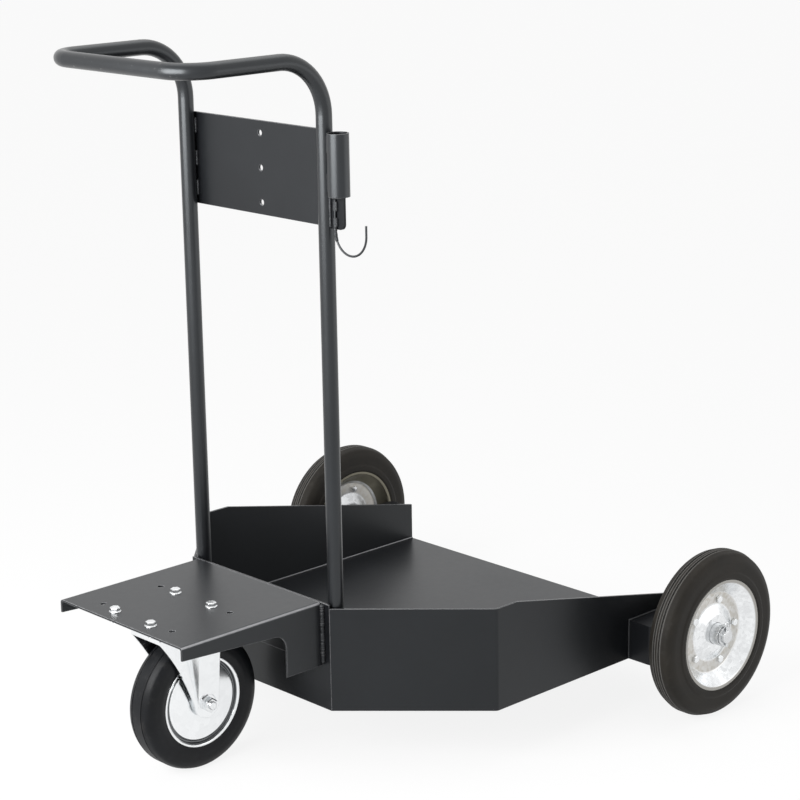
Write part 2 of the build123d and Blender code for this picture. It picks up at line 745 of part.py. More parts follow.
with BuildPart() as caster_axle_nut:
    with BuildSketch(Plane.XZ.offset(leg_out)):
        with Locations((caster_x, caster_z)):
            RegularPolygon(caster_bolt_flats / 2, 6, major_radius=False)
            Circle(caster_bolt_r + seat_gap, mode=Mode.SUBTRACT)
    extrude(amount=caster_nut_height)
keep(caster_axle_nut, "caster_axle_nut")

keep(tube(caster_plane, sleeve_r, caster_bolt_r + slip_gap, -leg_in, leg_in), "caster_axle_sleeve")

# Caster wheel

hub_half = leg_in - end_gap
roller_ring_r = sleeve_r + run_gap + roller_d / 2
hub_bore_r = roller_ring_r + roller_d / 2 + seat_gap
hub_r = hub_bore_r + hub_wall

keep(tube(caster_plane, hub_r, hub_bore_r, -hub_half, hub_half), "caster_hub_tube")

with BuildPart() as caster_rollers:
    with BuildSketch(Plane.XZ):
        with Locations((caster_x, caster_z)):
            with PolarLocations(roller_ring_r, roller_count):
                Circle(roller_d / 2)
    extrude(amount=hub_half - 2 * cage_wall, both=True)
keep(caster_rollers, "caster_rollers")

cage_rings = [
    tube(caster_plane, hub_bore_r - seat_gap, sleeve_r + run_gap, start, start + cage_wall)
    for start in (-hub_half, hub_half - cage_wall)]
keep(turned_group(cage_rings), "caster_cage_rings")

disc_line = [
    (hub_r + seat_gap, disc_hub_y), (hub_r + disc_seat, disc_hub_y), (disc_edge_r, disc_edge_y),
    (disc_groove_r - disc_groove_width / 2, disc_groove_y),
    (disc_groove_r + disc_groove_width / 2, disc_groove_y), (disc_lip_r - disc_lip_width, disc_lip_y),
    (disc_lip_r, disc_lip_y)]
disc_rounds = [disc_fold_r, disc_fold_r, disc_groove_fold_r, disc_groove_fold_r, disc_fold_r]
keep_pair(pressed(caster_plane, disc_line, disc_rounds, disc_sheet), "caster_disc")

band_r = disc_groove_r + rim_band_wall / 2
band_half = disc_groove_y - disc_sheet
keep(tube(caster_plane, band_r, band_r - rim_band_wall, -band_half, band_half), "caster_rim_band")

caster_r = caster_d / 2
lip_seat_r = disc_lip_r + weld_gap
side_half = caster_tyre_width / 2
tread_in = (caster_groove_spacing - caster_groove_width) / 2
tread_out = (caster_groove_spacing + caster_groove_width) / 2
groove_r = caster_r - caster_groove_depth
caster_tyre_half = [
    (band_r + seat_gap, band_half - bed_inset), (disc_lip_r - disc_lip_width + bed_relief, band_half),
    (lip_seat_r, disc_lip_y - disc_sheet - weld_gap), (lip_seat_r, side_half - caster_bead_rise),
    (lip_seat_r + caster_bead_slope, side_half), (caster_r - caster_shoulder, side_half),
    (caster_r - caster_crown_drop, caster_crown_width / 2), (caster_r, tread_out),
    (groove_r, tread_out), (groove_r, tread_in), (caster_r, tread_in)]
caster_rounds = [0] * 4 + [caster_side_r] * 2 + [caster_shoulder_r] + [0] * 4
keep(turned(caster_plane, caster_tyre_half + flipped(caster_tyre_half), caster_rounds + caster_rounds[::-1]),
     "caster_tyre")
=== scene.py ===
import math
import bpy
from mathutils import Matrix, Vector


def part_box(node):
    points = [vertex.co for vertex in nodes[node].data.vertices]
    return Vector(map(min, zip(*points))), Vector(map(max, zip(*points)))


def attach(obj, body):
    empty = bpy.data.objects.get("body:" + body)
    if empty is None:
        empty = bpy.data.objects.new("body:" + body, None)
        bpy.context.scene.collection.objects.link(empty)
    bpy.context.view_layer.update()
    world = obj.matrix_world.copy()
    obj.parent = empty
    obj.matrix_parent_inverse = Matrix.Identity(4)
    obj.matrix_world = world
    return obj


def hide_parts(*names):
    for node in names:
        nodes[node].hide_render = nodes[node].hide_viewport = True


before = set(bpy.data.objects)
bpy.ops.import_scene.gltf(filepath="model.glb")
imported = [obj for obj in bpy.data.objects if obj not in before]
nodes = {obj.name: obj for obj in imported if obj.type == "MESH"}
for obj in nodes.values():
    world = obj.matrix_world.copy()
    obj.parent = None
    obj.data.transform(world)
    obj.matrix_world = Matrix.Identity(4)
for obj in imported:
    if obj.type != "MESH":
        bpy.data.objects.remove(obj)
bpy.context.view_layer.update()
print("trolley frame loaded,", len(nodes), "nodes")


class Wire:
    # one output of a node; maths on it adds Math nodes
    def __init__(self, tree, socket):
        self.tree = tree
        self.socket = socket

    def add(self, kind, settings=None, sockets=None, output=0):
        node = self.tree.nodes.new(kind)
        for key, value in (settings or {}).items():
            setattr(node, key, value)
        for key, value in (sockets or {}).items():
            if isinstance(value, Wire):
                self.tree.links.new(value.socket, node.inputs[key])
            else:
                node.inputs[key].default_value = value
        return Wire(self.tree, node.outputs[output]) if node.outputs else None

    def sums(self, operation, first, second=0.0, clamp=False):
        settings = {"operation": operation, "use_clamp": clamp}
        return self.add("ShaderNodeMath", settings, {0: first, 1: second})

    def __add__(self, other):
        return self.sums("ADD", self, other)

    def __sub__(self, other):
        return self.sums("SUBTRACT", self, other)

    def __rsub__(self, other):
        return self.sums("SUBTRACT", other, self)

    def __mul__(self, other):
        return self.sums("MULTIPLY", self, other)

    def __truediv__(self, other):
        return self.sums("DIVIDE", self, other)

    def __pow__(self, other):
        return self.sums("POWER", self, other)

    __radd__ = __add__
    __rmul__ = __mul__

    def held(self):
        # kept between 0 and 1
        return self.sums("ADD", self, clamp=True)

    def rise(self, low, high):
        # 0 below low, 1 above high, smooth between
        limits = {"Value": self, "From Min": low, "From Max": high}
        return self.add("ShaderNodeMapRange", {"interpolation_type": "SMOOTHSTEP"}, limits)

    def band(self, rising, falling):
        # up over the first two values and down again over the others
        return self.rise(*rising) * (1 - self.rise(*falling))

    def tint(self, first, second):
        # colour that goes from first to second with this value
        return self.add("ShaderNodeMix", {"data_type": "RGBA"}, {0: self, 6: first, 7: second}, 2)

    def noise(self, scale, detail=2.0, rough=0.5):
        return self.add("ShaderNodeTexNoise", None, {
            "Vector": self, "Scale": scale, "Detail": detail, "Roughness": rough})

    def axis(self, index):
        # one coordinate of a vector
        return self.add("ShaderNodeSeparateXYZ", None, {"Vector": self}, index)

    def rounded(self, samples, radius):
        # normal that rounds off sharp edges
        return self.add("ShaderNodeBevel", {"samples": samples}, {"Radius": radius})

    def bumped(self, strength, distance, normal):
        return self.add("ShaderNodeBump", None, {
            "Height": self, "Strength": strength, "Distance": distance, "Normal": normal})

    def other(self, name):
        # another output of the same node
        return Wire(self.tree, self.socket.node.outputs[name])


def startMaterial(name):
    material = bpy.data.materials.new(name)
    material.use_nodes = True
    material.node_tree.nodes.clear()
    corner = material.node_tree.nodes.new("ShaderNodeTexCoord")
    return material, Wire(material.node_tree, corner.outputs["Object"])


def closeMaterial(place, sockets):
    surface = place.add("ShaderNodeBsdfPrincipled", None, sockets)
    place.add("ShaderNodeOutputMaterial", None, {"Surface": surface})


def grey(value):
    return (value, value, value, 1.0)


def middleOf(node):
    low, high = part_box(node)
    return (low + high) / 2


def dress(material, *names):
    for name in names:
        piece = nodes[name]
        if not piece.material_slots:
            piece.data.materials.append(material)
        for slot in piece.material_slots:
            slot.material = material


viewSettings = {
    "place": (-2.14895, -2.3647, 1.3188),
    "heading": 46.736,  # degrees from +X towards +Y
    "dip": 14.978,
    "roll": -0.948,
    "lens": 101.77,
    "shift": (0.0016, 0.0032),
    "reach": 50.0,  # metres the camera sees
}


def makeCamera():
    heading, dip, roll = (math.radians(viewSettings[key]) for key in ("heading", "dip", "roll"))
    flat = math.cos(dip)
    ahead = Vector((math.cos(heading) * flat, math.sin(heading) * flat, -math.sin(dip)))
    right = Vector((math.sin(heading), -math.cos(heading), 0))
    up = right.cross(ahead)
    sideways = math.cos(roll) * right + math.sin(roll) * up
    upwards = math.cos(roll) * up - math.sin(roll) * right
    data = bpy.data.cameras.new("photoCamera")
    data.lens = viewSettings["lens"]
    data.shift_x, data.shift_y = viewSettings["shift"]
    data.clip_end = viewSettings["reach"]
    camera = bpy.data.objects.new("photoCamera", data)
    bpy.context.scene.collection.objects.link(camera)
    turn = Matrix((sideways, upwards, -ahead)).transposed()
    camera.matrix_world = Matrix.Translation(viewSettings["place"]) @ turn.to_4x4()
    bpy.context.scene.camera = camera


makeCamera()
print("camera placed")

lightSettings = {
    "skyFill": 0.42,
    "floor": 0.93,
    "floorGlow": 0.87,  # how far the floor's own white lifts its shadows
    "floorHalf": 30.0,  # half the floor's width
    "overhead": ((0.3, 0.2, 0.93), 0.8, 60.0),  # from, strength, spread in degrees
    "boxes": {
        # middle, width and height, watts
        "leftBox": ((-1.6, -0.06, 1.17), (1.5, 1.1), 50.0),
        "rightBox": ((0.8, -1.2, 0.62), (1.0, 0.68), 1.5),
    },
    "aim": (-0.15, 0.0),  # where the boxes face, at their own height
}


def seenRays(tree):
    # 1 for what the camera sees, also in metal and glass
    path = tree.nodes.new("ShaderNodeLightPath")
    seen = Wire(tree, path.outputs["Is Camera Ray"])
    for name in ("Is Glossy Ray", "Is Transmission Ray"):
        seen = seen + Wire(tree, path.outputs[name])
    return seen.held()


def makeWorld():
    scene = bpy.context.scene
    scene.view_settings.view_transform = "Standard"
    world = bpy.data.worlds.new("studio")
    scene.world = world
    world.use_nodes = True
    world.node_tree.nodes.clear()
    seen = seenRays(world.node_tree)
    fill, white = (seen.add("ShaderNodeBackground", None, {"Color": grey(1.0), "Strength": level})
                   for level in (lightSettings["skyFill"], 1.0))
    both = seen.add("ShaderNodeMixShader", None, {0: seen, 1: fill, 2: white})
    seen.add("ShaderNodeOutputWorld", None, {"Surface": both})


def makeLamps():
    source, strength, spread = lightSettings["overhead"]
    lamp = bpy.data.lights.new("overhead", "SUN")
    lamp.energy = strength
    lamp.angle = math.radians(spread)
    lit = bpy.data.objects.new("overhead", lamp)
    bpy.context.scene.collection.objects.link(lit)
    lit.rotation_euler = Vector(source).to_track_quat("Z", "Y").to_euler()
    for name, (middle, size, watts) in lightSettings["boxes"].items():
        lamp = bpy.data.lights.new(name, "AREA")
        lamp.shape = "RECTANGLE"
        lamp.size, lamp.size_y = size
        lamp.energy = watts
        box = bpy.data.objects.new(name, lamp)
        bpy.context.scene.collection.objects.link(box)
        box.location = middle
        level = Vector(middle) - Vector((*lightSettings["aim"], middle[2]))
        box.rotation_euler = level.to_track_quat("Z", "Y").to_euler()
        box.visible_camera = False


def makeFloor():
    material, place = startMaterial("studioFloor")
    seen = seenRays(material.node_tree)
    paper = place.add("ShaderNodeBsdfDiffuse", None, {"Color": grey(lightSettings["floor"])})
    glow = place.add("ShaderNodeEmission", None, {"Color": grey(1.0), "Strength": 1.0})
    mixed = place.add("ShaderNodeMixShader", None, {
        0: seen * lightSettings["floorGlow"], 1: paper, 2: glow})
    place.add("ShaderNodeOutputMaterial", None, {"Surface": mixed})
    half = lightSettings["floorHalf"]
    corners = [(-half, -half, 0), (half, -half, 0), (half, half, 0), (-half, half, 0)]
    mesh = bpy.data.meshes.new("studioFloor")
    mesh.from_pydata(corners, [], [(0, 1, 2, 3)])
    mesh.materials.append(material)
    ground = bpy.data.objects.new("studioFloor", mesh)
    bpy.context.scene.collection.objects.link(ground)


makeWorld()
makeLamps()
makeFloor()
print("studio light and floor made")

coatSettings = {
    "dark": (0.0042, 0.0046, 0.0056, 1.0),
    "light": (0.0066, 0.0072, 0.0086, 1.0),
    # light colour of edges rubbed through, and of the painted highlights on edges and folds
    "wearAndHighlight": (0.28, 0.28, 0.29, 1.0),
    "scuffed": grey(0.11),
    "dust": grey(0.06),
    "dustAmount": 0.35,
    "tone": (0.3, 0.7),  # noise levels from dark to light
    "speck": (0.7, 0.76),  # noise levels at which specks, their patches and scuffs show
    "patch": (0.48, 0.62),
    "scuff": (0.69, 0.73),
    "upward": (0.6, 1.0),  # how far up a dusty face looks
    "gloss": 0.38,
    "uneven": {"cloud": 0.12, "grain": 0.08, "edge": 0.05},  # changes of the gloss
    "specular": {"sheet": 0.28, "deck": 0.36, "tube": 0.5, "bracket": 0.12},
    "shine": (0.9, 0.96, 1.0, 1.0),
    "sealer": (0.2, 0.28),  # thin glossy skin over the satin coat: weight, roughness
    "fold": 0.0016,  # rounding of the coated edges
    "foldHighlight": ((0.35, 0.6), (0.8, 0.95)),  # how far up a fold faces that gets the painted highlight
    "grip": (-0.4, -0.3),  # X over which the grip's scuffs fade
    "bump": (0.12, 0.0004),
    # patterns per metre
    "scale": {"peel": 620.0, "cloud": 5.0, "grain": 90.0, "speck": 240.0, "patch": 14.0,
              "scuff": 210.0},
}


def makeCoat(name, kind, foldHighlight=0.0, gripScuffs=0.0, dulled=0.0, edgeWearAndSheen=3.0):
    # how far folds that face half up are painted light as a highlight, and how far all edges are
    # painted light, partly as rubbed wear and partly as a painted highlight
    scale, uneven = coatSettings["scale"], coatSettings["uneven"]
    sealer, sealerGloss = coatSettings["sealer"]
    material, place = startMaterial(name)
    peel = place.noise(scale["peel"], 3.0)
    cloud = place.noise(scale["cloud"], 4.0)
    grain = place.noise(scale["grain"], 4.0, 0.65)
    rounded = place.rounded(6, coatSettings["fold"])
    facing = place.add("ShaderNodeNewGeometry", output="Normal")
    same = place.add("ShaderNodeVectorMath", {"operation": "DOT_PRODUCT"},
                     {0: rounded, 1: facing}, 1)
    # all edges are painted light, partly as rubbed wear and partly as a painted highlight; folds
    # that face half up get a painted highlight
    edge = ((1 - same) * edgeWearAndSheen * grain).held()
    if foldHighlight:
        foldHighlights = rounded.axis(2).band(*coatSettings["foldHighlight"])
        edge = (edge + foldHighlights * (0.5 + grain) * foldHighlight).held()
    upward = facing.axis(2).rise(*coatSettings["upward"])
    patches = place.noise(scale["patch"], 3.0).rise(*coatSettings["patch"])
    specks = place.noise(scale["speck"], 2.0).rise(*coatSettings["speck"]) * patches
    base = cloud.rise(*coatSettings["tone"]).tint(coatSettings["dark"], coatSettings["light"])
    base = (upward * specks * coatSettings["dustAmount"]).tint(base, coatSettings["dust"])
    base = edge.tint(base, coatSettings["wearAndHighlight"])
    rough = coatSettings["gloss"] + dulled + (cloud - 0.5) * uneven["cloud"]
    rough = rough + (grain - 0.5) * uneven["grain"] - edge * uneven["edge"]
    if gripScuffs:
        scuffs = place.noise(scale["scuff"], 3.0).rise(*coatSettings["scuff"]) * gripScuffs
        scuffs = (1 - place.axis(0).rise(*coatSettings["grip"])) * scuffs
        base = scuffs.tint(base, coatSettings["scuffed"])
    closeMaterial(place, {
        "Base Color": base, "Roughness": rough,
        "Specular IOR Level": coatSettings["specular"][kind],
        "Specular Tint": coatSettings["shine"],
        "Coat Weight": sealer, "Coat Roughness": sealerGloss,
        "Normal": peel.bumped(*coatSettings["bump"], rounded)})
    return material


coatMaterial = makeCoat("satinBlackCoat", "sheet", foldHighlight=1.0)
deckMaterial = makeCoat("deckCoat", "deck", foldHighlight=1.0)
tubeMaterial = makeCoat("satinBlackTube", "tube", gripScuffs=0.6, dulled=-0.06)
# weld beads get a little of the painted fold highlight on their upper sides
weldMaterial = makeCoat("coatedWeld", "sheet", foldHighlight=0.12)
bracketMaterial = makeCoat("bracketCoat", "bracket", dulled=0.1, edgeWearAndSheen=0.2)
wireMaterial = makeCoat("blackWire", "tube")
dress(coatMaterial, "tray_floor", "tray_front_wall", "left_side_wall", "right_side_wall",
      "mounting_panel")
dress(deckMaterial, "caster_deck")
dress(bracketMaterial, "left_axle_bracket", "right_axle_bracket", "holder_gusset")
dress(tubeMaterial, "handle_tube", "holder_tube")
dress(wireMaterial, "wire_hook")
print("black coat on")

zincSettings = {
    "dull": (0.46, 0.47, 0.48, 1.0),
    "bright": (0.90, 0.915, 0.925, 1.0),
    "stain": (0.52, 0.50, 0.46, 1.0),
    # painted shade colours for the dark ring bands below
    "paintedShade": (0.16, 0.165, 0.17, 1.0),
    "warmPaintedShade": (0.165, 0.155, 0.122, 1.0),
    "lip": (0.36, 0.35, 0.33, 1.0),
    "fold": 0.0012,
    "bump": (0.08, 0.0005),
    "relief": (0.5, 5.0),  # share of the fine grain and of the clouds in the bump
    "scale": {"cloud": 0.16, "fine": 9.0},  # patterns against the crystals
    "cloudy": 1.4,  # tone of the clouds against that of the crystals
    "uneven": {"flake": 0.2, "fine": 0.05, "cloud": 0.1, "stain": 0.14},  # changes of the gloss
    "stained": (0.75, 0.5),  # how much a dull ring is stained, and how patchily
    "fade": {"dull": (0.004, 0.003), "dark": (0.001, 0.001), "lip": 0.002},  # soft edges of rings
    "finish": {
        # crystals per metre, how much they show, roughness, how bright
        "rimZinc": (210.0, 0.3, 0.22, 0.82),
        # inner rims are darker than the outer rims of the same wheel: partly dirt, partly painted
        # shade
        "innerZinc": (210.0, 0.5, 0.38, 0.4),
        "discZinc": (90.0, 0.1, 0.15, 0.95),
        "forkZinc": (120.0, 0.08, 0.17, 0.95),
        "boltZinc": (400.0, 0.2, 0.22, 0.85),
        "turnedSteel": (600.0, 0.2, 0.26, 0.5),
        "dullBush": (300.0, 0.3, 0.24, 0.45),
    },
    "rings": {
        # node on the axle, and where rings start and end from its middle
        "rimZinc": {"wheel": "left_outer_rim", "dull": (0.042, 0.060), "lip": 0.0775},
        # the dark bands are painted shade: on the inner rims over barrel and lip, on the caster
        # disc in its groove
        "innerZinc": {"wheel": "left_outer_rim", "dull": (0.042, 0.060),
                      "dark": (0.064, 0.1, "warmPaintedShade")},
        "discZinc": {"wheel": "left_caster_disc", "dark": (0.0575, 0.0615, "paintedShade")},
    },
}


def ringDistance(place, node):
    # distance from the wheel's axle line
    away = tuple(-middleOf(node))
    local = place.add("ShaderNodeMapping", None, {"Vector": place, "Location": away})
    x, z = local.axis(0), local.axis(2)
    return (x * x + z * z) ** 0.5


def makeZinc(name):
    crystalScale, mottle, gloss, tone = zincSettings["finish"][name]
    rings = zincSettings["rings"].get(name, {})
    scale, fade, uneven = (zincSettings[key] for key in ("scale", "fade", "uneven"))
    material, place = startMaterial(name)
    crystals = place.add("ShaderNodeTexVoronoi", None, {
        "Vector": place, "Scale": crystalScale, "Randomness": 1.0}, 1)
    flake = place.add("ShaderNodeSeparateColor", None, {"Color": crystals})
    cloud = place.noise(crystalScale * scale["cloud"], 5.0, 0.6)
    fine = place.noise(crystalScale * scale["fine"], 3.0)
    shine = tone + (flake - 0.5) * mottle + (cloud - 0.5) * mottle * zincSettings["cloudy"]
    base = shine.held().tint(zincSettings["dull"], zincSettings["bright"])
    rough = gloss + (flake - 0.5) * mottle * uneven["flake"] + (fine - 0.5) * uneven["fine"]
    rough = rough + (cloud - 0.5) * uneven["cloud"]
    if rings:
        distance = ringDistance(place, rings["wheel"])
    if "dull" in rings:
        start, end = rings["dull"]
        rising, falling = fade["dull"]
        ring = distance.band((start, start + rising), (end, end + falling))
        stained, patchy = zincSettings["stained"]
        base = (ring * (stained + (flake - 0.5) * patchy)).tint(base, zincSettings["stain"])
        rough = rough + ring * uneven["stain"]
    # painted shade over a band of radii
    if "dark" in rings:
        start, end, paintedShade = rings["dark"]
        rising, falling = fade["dark"]
        ring = distance.band((start, start + rising), (end, end + falling))
        base = ring.tint(base, zincSettings[paintedShade])
    if "lip" in rings:
        start = rings["lip"]
        base = distance.rise(start, start + fade["lip"]).tint(base, zincSettings["lip"])
    rounded = place.rounded(4, zincSettings["fold"])
    fineShare, cloudShare = zincSettings["relief"]
    relief = fine * fineShare + cloud * cloudShare
    closeMaterial(place, {
        "Base Color": base, "Metallic": 1.0, "Roughness": rough,
        "Normal": relief.bumped(*zincSettings["bump"], rounded)})
    return material


rimZinc = makeZinc("rimZinc")
innerZinc = makeZinc("innerZinc")
discZinc = makeZinc("discZinc")
forkZinc = makeZinc("forkZinc")
boltZinc = makeZinc("boltZinc")
steelMaterial = makeZinc("turnedSteel")
sealMaterial = makeZinc("dullBush")
for side in ("left_", "right_"):
    dress(rimZinc, side + "outer_rim")
    dress(innerZinc, side + "inner_rim")
    dress(discZinc, side + "caster_disc")
    dress(boltZinc, side + "rim_bolts", side + "rim_nuts")
    dress(steelMaterial, side + "stub_axle", side + "axle_washer", side + "split_pin",
          side + "hub_sleeve")
    dress(sealMaterial, side + "wheel_bearings")
dress(discZinc, "caster_rim_band", "caster_hub_tube")
dress(forkZinc, "caster_fork", "caster_top_plate", "swivel_race")
dress(boltZinc, "mount_bolts", "mount_nuts", "mount_washers", "caster_axle_bolt",
      "caster_axle_nut", "kingpin", "kingpin_nut", "kingpin_washer")
dress(steelMaterial, "swivel_balls", "caster_axle_sleeve", "caster_rollers",
      "caster_cage_rings")
print("zinc and steel on")

rubberSettings = {
    "rear": {"dark": (0.0095, 0.0080, 0.0060, 1.0), "light": (0.0185, 0.0158, 0.0122, 1.0),
             "gloss": 0.55, "specular": 0.22},
    "caster": {"dark": (0.0034, 0.0039, 0.0050, 1.0), "light": (0.0066, 0.0074, 0.0092, 1.0),
               "gloss": 0.36, "specular": 0.2},
    "groove": {"rear": 0.0045},  # tread groove's distance from the middle
    "grooveEdge": (0.0024, 0.0036),
    "treadDepth": (0.012, 0.003),  # where the tread starts and is full, below the top
    # dust colour, also used for the painted highlight lines along the tread groove
    "dust": (0.11, 0.106, 0.10, 1.0),
    "dustAndSheen": (0.02, 0.1),  # dust on the sides, and more of it on the tread
    "grooveHighlight": (0.35, 0.9),  # painted highlight along the groove and its edges, and how gritty it is
    "tone": (0.3, 0.75),  # noise levels from dark to light
    "dustTone": (0.5, 0.75),
    "uneven": {"cloud": 0.2, "tread": 0.1},  # changes of the gloss
    "fold": 0.0015,
    "bump": (0.15, 0.0005),
    "ringDepth": 0.12,  # moulded rings against the grit
    # patterns per metre, and waves of the moulded rings in radians per metre
    "scale": {"grit": 420.0, "cloud": 18.0, "dust": 60.0, "rings": 2900.0},
}


def makeRubber(name, node, kind):
    look = rubberSettings[kind]
    scale, uneven = rubberSettings["scale"], rubberSettings["uneven"]
    groove = rubberSettings["groove"].get(kind)
    sideDust, treadDust = rubberSettings["dustAndSheen"]
    low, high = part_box(node)
    material, place = startMaterial(name)
    radius = ringDistance(place, node)
    outer = (high.z - low.z) / 2
    tread = radius.rise(*(outer - depth for depth in rubberSettings["treadDepth"]))
    rings = place.sums("SINE", radius * scale["rings"])
    grit = place.noise(scale["grit"], 4.0, 0.6)
    cloud = place.noise(scale["cloud"], 5.0, 0.6)
    rounded = place.rounded(4, rubberSettings["fold"])
    base = cloud.rise(*rubberSettings["tone"]).tint(look["dark"], look["light"])
    patches = place.noise(scale["dust"], 5.0, 0.7).rise(*rubberSettings["dustTone"])
    dustAndSheen = (tread * treadDust + sideDust) * patches
    # painted highlight lines along the tread groove and its edges, mixed in with the dust
    if groove:
        across = place.sums("ABSOLUTE", place.axis(1) - (low.y + high.y) / 2)
        aside = place.sums("ABSOLUTE", across - groove)
        grooveHighlightBand = 1 - aside.rise(*rubberSettings["grooveEdge"])
        highlightLevel, gritty = rubberSettings["grooveHighlight"]
        dustAndSheen = dustAndSheen + grooveHighlightBand * tread * (highlightLevel + grit * gritty)
    base = dustAndSheen.held().tint(base, rubberSettings["dust"])
    rough = look["gloss"] + (cloud - 0.5) * uneven["cloud"] + tread * uneven["tread"]
    relief = grit + rings * rubberSettings["ringDepth"]
    closeMaterial(place, {
        "Base Color": base, "Roughness": rough, "Specular IOR Level": look["specular"],
        "Normal": relief.bumped(*rubberSettings["bump"], rounded)})
    return material


for tyre in ("left_tyre", "right_tyre"):
    dress(makeRubber(tyre + "Rubber", tyre, "rear"), tyre)
dress(makeRubber("casterRubber", "caster_tyre", "caster"), "caster_tyre")
print("rubber on")


def startTree(name, inputs):
    # node tree for geometry, with one named input for each size
    tree = bpy.data.node_groups.new(name, "GeometryNodeTree")
    for way in ("INPUT", "OUTPUT"):
        tree.interface.new_socket("Geometry", in_out=way, socket_type="NodeSocketGeometry")
    for label, value in inputs.items():
        kind = "NodeSocketVector" if isinstance(value, tuple) else "NodeSocketFloat"
        tree.interface.new_socket(label, in_out="INPUT", socket_type=kind).default_value = value
    source = tree.nodes.new("NodeGroupInput")
    return tree, {socket.name: Wire(tree, socket) for socket in source.outputs if socket.name}


def closeTree(shape, material, soft=False):
    smooth = shape.add("GeometryNodeSetShadeSmooth", None, {
        "Geometry": shape, "Shade Smooth": soft})
    solid = smooth.add("GeometryNodeRealizeInstances", None, {"Geometry": smooth})
    painted = solid.add("GeometryNodeSetMaterial", None, {
        "Geometry": solid, "Material": material})
    painted.add("NodeGroupOutput", None, {"Geometry": painted})


def grow(name, tree, points, edges, sizes, body, slot, *replaced):
    # runs a tree on points and lines, and keeps the result as a plain mesh that rides on a body
    mesh = bpy.data.meshes.new(name)
    mesh.from_pydata(points, edges, [])
    piece = bpy.data.objects.new(name, mesh)
    bpy.context.scene.collection.objects.link(piece)
    modifier = piece.modifiers.new("grow", "NODES")
    modifier.node_group = tree
    for item in tree.interface.items_tree:
        if item.in_out == "INPUT" and item.name in sizes:
            modifier[item.identifier] = sizes[item.name]
    graph = bpy.context.evaluated_depsgraph_get()
    piece.data = bpy.data.meshes.new_from_object(piece.evaluated_get(graph))
    piece.modifiers.remove(modifier)
    piece.data.name = name
    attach(piece, body)
    if replaced:
        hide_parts(*replaced)


weldSettings = {
    "fine": {"Step": 0.0012, "Width": 0.0024, "Length": 0.0021, "Wobble": 0.12, "Seed": 7.0},
    "heavy": {"Step": 0.0017, "Width": 0.0038, "Length": 0.0032, "Wobble": 0.2, "Seed": 3.0},
    "thin": {"Step": 0.0009, "Width": 0.0015, "Length": 0.0013, "Wobble": 0.12, "Seed": 5.0},
    "dropFaces": (8, 6),  # round and along a drop
    "tube": 0.011,  # radius of the handle's tube
    "deckSeam": (-0.0016, 0.0012, 0.006),  # X, Y from the deck's corner, gap at its ends
    "stitch": (0.0096, -0.0076, 0.009),  # X, Y from the upright's middle, half length
    "stitchLevels": (0.046, 0.0, -0.042),  # from the panel's middle
    "foot": (0.0116, 0.0006),  # radius, height above the floor
    "bracket": (0.0006, 0.0004, 0.003),  # off the wall, off the plates, gap below
    "axle": (0.0156, 0.0008),  # radius, off the bracket
    "groove": (0.0046, 0.0002),  # each side of the holder's middle, off the holder
    "grooveRuns": ((0.006, 0.028), (0.058, 0.078)),  # up from the holder's low end
    "gusset": (0.00253, 0.0002, 0.003, 0.004),  # off the middle, off the edge, gaps
    "hook": (0.0018, 0.0006, 0.0015),  # each side of the wire, in from its face, its radius
    "hookRuns": ((0.006, 0.014), (0.026, 0.036)),  # up from the gusset's low end
    "hookBend": ((0.0, -0.004), (0.0, 0.002), (0.0006, 0.008), (0.0025, 0.014)),  # aside, down
}


def makeBeadTree():
    # overlapping drops along each line, as a weld runs
    tree, inputs = startTree("weldBead", weldSettings["fine"])
    width, wobble = inputs["Width"], inputs["Wobble"]
    line = width.add("GeometryNodeMeshToCurve", None, {"Mesh": inputs["Geometry"]})
    drops = line.add("GeometryNodeCurveToPoints", {"mode": "LENGTH"}, {
        "Curve": line, "Length": inputs["Step"]})
    chance = drops.add("FunctionNodeRandomValue", {"data_type": "FLOAT"}, {
        2: 1 - wobble, 3: 1 + wobble, 8: inputs["Seed"]}, 1)
    size = drops.add("ShaderNodeCombineXYZ", None, {
        0: width * chance, 1: width * chance, 2: inputs["Length"]})
    around, along = weldSettings["dropFaces"]
    drop = drops.add("GeometryNodeMeshUVSphere", None, {
        "Segments": around, "Rings": along, "Radius": 1.0})
    run = drops.add("GeometryNodeInstanceOnPoints", None, {
        "Points": drops, "Instance": drop, "Rotation": drops.other("Rotation"), "Scale": size})
    closeTree(run, weldMaterial, soft=True)
    return tree


def joinLines(lines):
    points, edges = [], []
    for line in lines:
        first = len(points)
        points.extend(line)
        edges.extend((first + index, first + index + 1) for index in range(len(line) - 1))
    return points, edges


def standing(x, y, low, high):
    return [(x, y, low), (x, y, high)]


def ringLine(middle, radius, axis, count=40):
    # closed circle about a point, square to the axis
    across = Vector(axis).orthogonal().normalized()
    angles = [2 * math.pi * step / count for step in range(count + 1)]
    turns = [Matrix.Rotation(angle, 3, Vector(axis)) for angle in angles]
    return [tuple(Vector(middle) + turn @ across * radius) for turn in turns]


deckLow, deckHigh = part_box("caster_deck")
holderLow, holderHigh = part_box("holder_tube")
plateLow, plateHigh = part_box("holder_gusset")
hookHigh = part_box("wire_hook")[1]
bracketLow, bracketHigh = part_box("left_axle_bracket")
floorLow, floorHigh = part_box("tray_floor")
panelMiddle = middleOf("mounting_panel")
axleMiddle = middleOf("left_stub_axle")
uprightX = middleOf("holder_tube").x
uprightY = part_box("handle_tube")[1].y - weldSettings["tube"]
fineLines, heavyLines, thinLines = [], [], []

